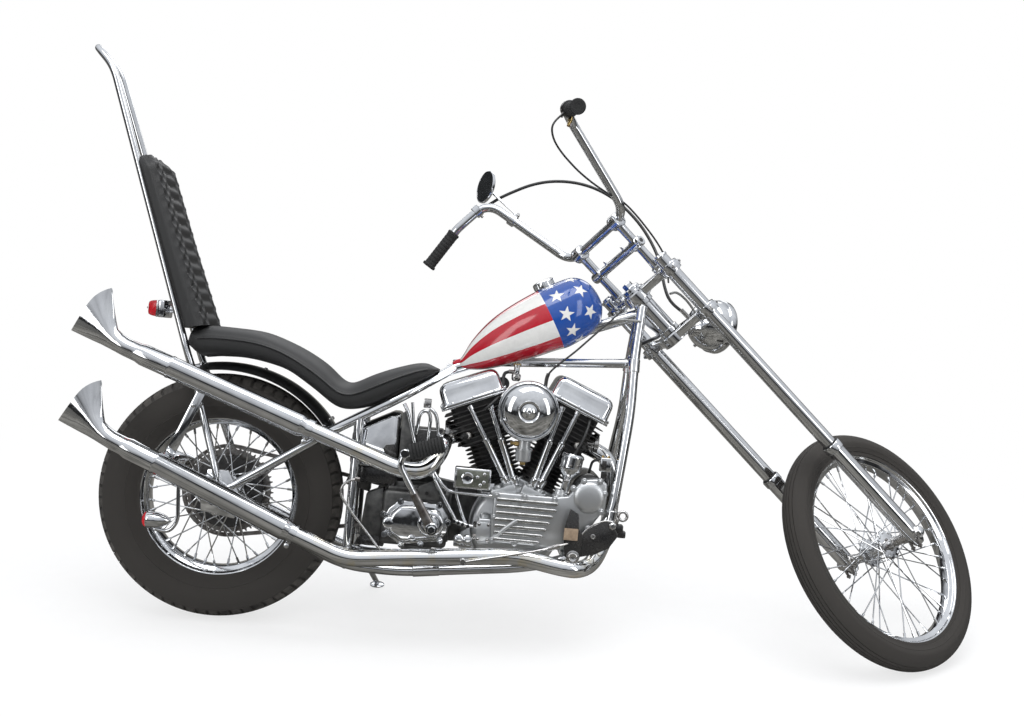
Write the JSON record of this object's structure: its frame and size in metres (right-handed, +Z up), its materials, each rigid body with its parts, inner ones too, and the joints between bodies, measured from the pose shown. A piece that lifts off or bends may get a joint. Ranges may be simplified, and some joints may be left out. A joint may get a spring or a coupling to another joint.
{
  "type": "chopper motorcycle",
  "caption": "Chopper motorcycle with a long raked fork, tall handlebar, teardrop tank, low seat with a high backrest, open V-twin engine and twin upswept exhausts, leaning on its side stand.",
  "frame": {"origin": "on the floor under the middle of the bounding box, with the machine leaning on its side stand", "axes": "+X towards the front, +Y to the machine's left, +Z up"},
  "size_m": [2.5486, 0.688, 1.5002],
  "materials": {
    "black_iron": "black enamelled castings",
    "black_leather": "black, soft sheen",
    "black_paint": "black gloss",
    "cast_aluminium": "cast, lightly polished",
    "chrome": "polished chrome plate",
    "dull_steel": "oiled steel",
    "grip_rubber": "matt black",
    "red_lens": "translucent red lens",
    "tank_paint": "gloss, striped red and white with a blue starred front",
    "tyre_rubber": "matt, slightly browned"
  },
  "bodies": {
    "chassis": {"air_cleaner": "chrome", "backrest": "black_leather", "brake_pedal": "black_paint", "carburettor": "cast_aluminium", "crankcase": "cast_aluminium", "drive_chain": "dull_steel", "exhaust_strip": "chrome", "filler_cap": "chrome", "frame": "chrome", "front_cylinder": "black_iron", "front_head": "cast_aluminium", "front_rocker_cover": "chrome", "fuel_tank": "tank_paint", "fuel_tap": "dull_steel", "gearbox": "cast_aluminium", "generator": "black_paint", "ignition_timer": "chrome", "kick_cover": "chrome", "kick_lever": "chrome", "left_marker_lamp": "chrome", "lower_exhaust": "chrome", "oil_tank": "chrome", "primary_cover": "chrome", "push_rods_and_tappets": "chrome", "rear_axle": "chrome", "rear_cylinder": "black_iron", "rear_fender": "chrome", "rear_head": "cast_aluminium", "rear_rocker_cover": "chrome", "regulator": "chrome", "relay_box": "chrome", "right_marker_lamp": "chrome", "seat": "black_leather", "sissy_bar": "chrome", "tail_lamp": "red_lens", "timing_cover": "cast_aluminium", "upper_exhaust": "chrome"},
    "fork_and_handlebar": {"fork_leg_left": "chrome", "fork_leg_right": "chrome", "front_axle": "chrome", "handlebar": "chrome", "headlamp": "chrome", "left_grip": "grip_rubber", "left_lever": "chrome", "lever_cable": "grip_rubber", "lower_tree": "chrome", "mirror": "chrome", "right_control": "black_iron", "right_grip": "grip_rubber", "risers": "chrome", "upper_tree": "chrome"},
    "rear_wheel": {"rear_drum_and_sprocket": "black_iron", "rear_tyre": "tyre_rubber", "rear_wire_wheel": "chrome"},
    "front_wheel": {"front_tyre": "tyre_rubber", "front_wire_wheel": "chrome"},
    "side_stand": {"side_stand": "chrome"}
  },
  "joints": [
    {"name": "steering", "type": "hinge", "parent": "chassis", "child": "fork_and_handlebar", "pos_m": [0.94916, -0.09753, 0.26316], "axis": [-0.7235, 0.1317, 0.6776], "range_deg": [-85, 0]},
    {"name": "rear_wheel_spin", "type": "hinge", "parent": "chassis", "child": "rear_wheel", "pos_m": [-0.85825, -0.08548, 0.32513], "axis": [0, 0.9816, -0.1908], "continuous": true},
    {"name": "front_wheel_spin", "type": "hinge", "parent": "fork_and_handlebar", "child": "front_wheel", "pos_m": [0.96779, -0.06953, 0.27761], "axis": [-0.4663, 0.6305, -0.6205], "continuous": true},
    {"name": "stand_fold", "type": "hinge", "parent": "chassis", "child": "side_stand", "pos_m": [-0.47767, 0.03552, 0.13009], "axis": [0.1426, 0.7819, 0.6069], "range_deg": [0, 105]}
  ]
}
